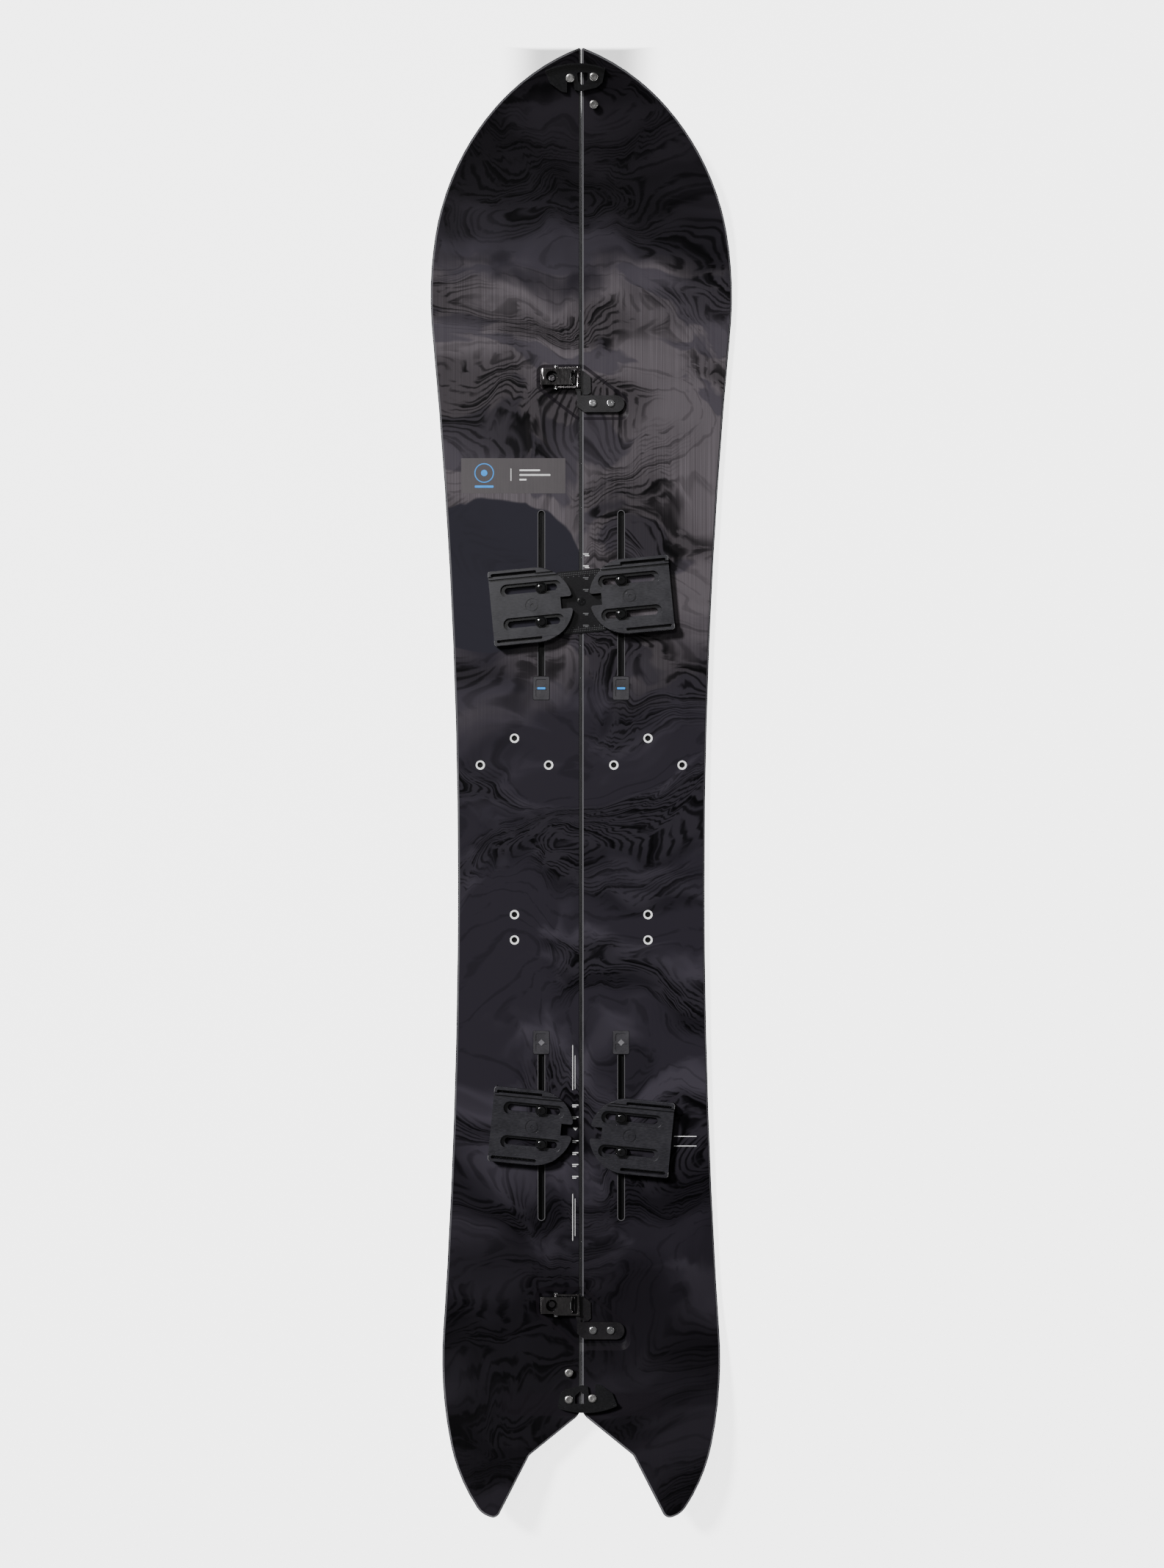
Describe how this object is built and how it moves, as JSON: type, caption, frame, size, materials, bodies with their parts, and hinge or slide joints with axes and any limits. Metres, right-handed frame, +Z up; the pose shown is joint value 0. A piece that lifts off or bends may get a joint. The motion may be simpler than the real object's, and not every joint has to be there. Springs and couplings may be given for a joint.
{
  "type": "splitboard",
  "caption": "Swallow-tail splitboard: two ski halves held together by tip clips and interlock latches, with channel-mounted sliding binding pucks.",
  "frame": {"origin": "on the ground, on the seam between the halves, midway between nose and tail", "axes": "+Y towards the nose, +X to the right seen from above, +Z up"},
  "size_m": [0.3222, 1.5399, 0.0571],
  "materials": {
    "topsheet": "satin printed sheet, charcoal with brushed and marbled figure",
    "laminate": "pale glass-fibre cut edge",
    "core_wood": "vertical-laminated softwood",
    "sidewall": "sanded black plastic",
    "base_sheet": "sintered, structured and waxed",
    "edge_steel": "ground steel",
    "insert_steel": "pale zinc",
    "channel_black": "satin black",
    "plug_grey": "moulded grey",
    "puck_nylon": "satin glass-filled nylon",
    "bolt_black": "glossy black",
    "nut_steel": "dark zinc",
    "template_black": "thin satin sheet",
    "clip_black": "gloss black",
    "stud_steel": "bright steel",
    "latch_nickel": "dark polished nickel",
    "latch_dark": "dark satin plate",
    "screw_steel": "polished steel"
  },
  "bodies": {
    "left_ski": {"left_base_sheet": "base_sheet", "left_steel_edge": "edge_steel", "left_sidewall": "sidewall", "left_wood_core": "core_wood", "left_upper_laminate": "laminate", "left_topsheet": "topsheet", "left_threaded_inserts": "insert_steel", "front_left_channel_rail": "channel_black", "front_left_channel_plug": "plug_grey", "rear_left_channel_rail": "channel_black", "rear_left_channel_plug": "plug_grey", "stance_template": "template_black", "nose_clip_post": "stud_steel", "tail_clip_pivot_bolt": "stud_steel", "tail_clip_parking_stud": "stud_steel", "nose_latch_base": "latch_dark", "nose_latch_base_screws": "screw_steel", "nose_lever_pin": "screw_steel", "tail_latch_base": "latch_dark", "tail_latch_base_screws": "screw_steel", "tail_lever_pin": "screw_steel"},
    "right_ski": {"right_base_sheet": "base_sheet", "right_steel_edge": "edge_steel", "right_sidewall": "sidewall", "right_wood_core": "core_wood", "right_upper_laminate": "laminate", "right_topsheet": "topsheet", "right_threaded_inserts": "insert_steel", "front_right_channel_rail": "channel_black", "front_right_channel_plug": "plug_grey", "rear_right_channel_rail": "channel_black", "rear_right_channel_plug": "plug_grey", "nose_clip_pivot_bolt": "stud_steel", "nose_clip_parking_stud": "stud_steel", "tail_clip_post": "stud_steel", "nose_keeper_plate": "latch_dark", "nose_keeper_screws": "screw_steel", "tail_keeper_plate": "latch_dark", "tail_keeper_screws": "screw_steel"},
    "nose_clip_arm": {"nose_clip": "clip_black"},
    "nose_lever": {"nose_latch_lever": "latch_nickel", "nose_hook_rivets": "screw_steel"},
    "nose_hook": {"nose_draw_hook": "latch_nickel"},
    "tail_clip_arm": {"tail_clip": "clip_black"},
    "tail_lever": {"tail_latch_lever": "latch_nickel", "tail_hook_rivets": "screw_steel"},
    "tail_hook": {"tail_draw_hook": "latch_nickel"},
    "front_left_carriage": {"front_left_puck_bolts": "bolt_black", "front_left_channel_nuts": "nut_steel"},
    "front_left_puck_body": {"front_left_puck": "puck_nylon"},
    "front_right_carriage": {"front_right_puck_bolts": "bolt_black", "front_right_channel_nuts": "nut_steel"},
    "front_right_puck_body": {"front_right_puck": "puck_nylon"},
    "rear_left_carriage": {"rear_left_puck_bolts": "bolt_black", "rear_left_channel_nuts": "nut_steel"},
    "rear_left_puck_body": {"rear_left_puck": "puck_nylon"},
    "rear_right_carriage": {"rear_right_puck_bolts": "bolt_black", "rear_right_channel_nuts": "nut_steel"},
    "rear_right_puck_body": {"rear_right_puck": "puck_nylon"}
  },
  "joints": [
    {"name": "halves_split", "type": "slide", "parent": "left_ski", "child": "right_ski", "axis": [1, 0, 0], "range_m": [0, 0.017]},
    {"name": "nose_clip_turn", "type": "hinge", "parent": "right_ski", "child": "nose_clip_arm", "pos_m": [0.0131, 0.7424, 0.04607], "axis": [0, -0.284, 0.9588], "range_deg": [-180, 0]},
    {"name": "tail_clip_turn", "type": "hinge", "parent": "left_ski", "child": "tail_clip_arm", "pos_m": [-0.0131, -0.6528, 0.0236], "axis": [0, 0.2079, 0.9781], "range_deg": [-180, 0]},
    {"name": "nose_lever_lift", "type": "hinge", "parent": "left_ski", "child": "nose_lever", "pos_m": [-0.012, 0.4335, 0.0128], "axis": [0, 1, 0], "range_deg": [0, 105]},
    {"name": "nose_hook_swing", "type": "hinge", "parent": "nose_lever", "child": "nose_hook", "pos_m": [-0.027, 0.4335, 0.0112], "axis": [0, 1, 0], "range_deg": [-137, 0]},
    {"name": "tail_lever_lift", "type": "hinge", "parent": "left_ski", "child": "tail_lever", "pos_m": [-0.012, -0.55513, 0.01363], "axis": [0, 0.996, -0.0889], "range_deg": [0, 105]},
    {"name": "tail_hook_swing", "type": "hinge", "parent": "tail_lever", "child": "tail_hook", "pos_m": [-0.027, -0.55527, 0.01203], "axis": [0, 0.996, -0.0889], "range_deg": [-137, 0]},
    {"name": "front_left_stance_slide", "type": "slide", "parent": "left_ski", "child": "front_left_carriage", "axis": [0, 1, 0], "range_m": [-0.05, 0.074]},
    {"name": "front_left_cross_slide", "type": "slide", "parent": "front_left_carriage", "child": "front_left_puck_body", "axis": [0.9954, 0.0958, 0], "range_m": [-0.013, 0.008]},
    {"name": "front_right_stance_slide", "type": "slide", "parent": "right_ski", "child": "front_right_carriage", "axis": [0, 1, 0], "range_m": [-0.058, 0.066]},
    {"name": "front_right_cross_slide", "type": "slide", "parent": "front_right_carriage", "child": "front_right_puck_body", "axis": [-0.9954, -0.0958, 0], "range_m": [-0.013, 0.008]},
    {"name": "rear_left_stance_slide", "type": "slide", "parent": "left_ski", "child": "rear_left_carriage", "axis": [0, 1, 0], "range_m": [-0.074, 0.05]},
    {"name": "rear_left_cross_slide", "type": "slide", "parent": "rear_left_carriage", "child": "rear_left_puck_body", "axis": [0.9954, -0.0958, 0], "range_m": [-0.013, 0.008]},
    {"name": "rear_right_stance_slide", "type": "slide", "parent": "right_ski", "child": "rear_right_carriage", "axis": [0, 1, 0], "range_m": [-0.066, 0.058]},
    {"name": "rear_right_cross_slide", "type": "slide", "parent": "rear_right_carriage", "child": "rear_right_puck_body", "axis": [-0.9954, 0.0958, 0], "range_m": [-0.013, 0.008]}
  ],
  "couplings": [
    {"joint": "nose_clip_turn", "follows": "halves_split", "rad_per_m": -183.26},
    {"joint": "tail_clip_turn", "follows": "halves_split", "rad_per_m": -183.26},
    {"joint": "nose_lever_lift", "follows": "halves_split", "rad_per_m": 106.77},
    {"joint": "nose_hook_swing", "follows": "halves_split", "rad_per_m": -138.81},
    {"joint": "tail_lever_lift", "follows": "halves_split", "rad_per_m": 106.77},
    {"joint": "tail_hook_swing", "follows": "halves_split", "rad_per_m": -138.81}
  ]
}
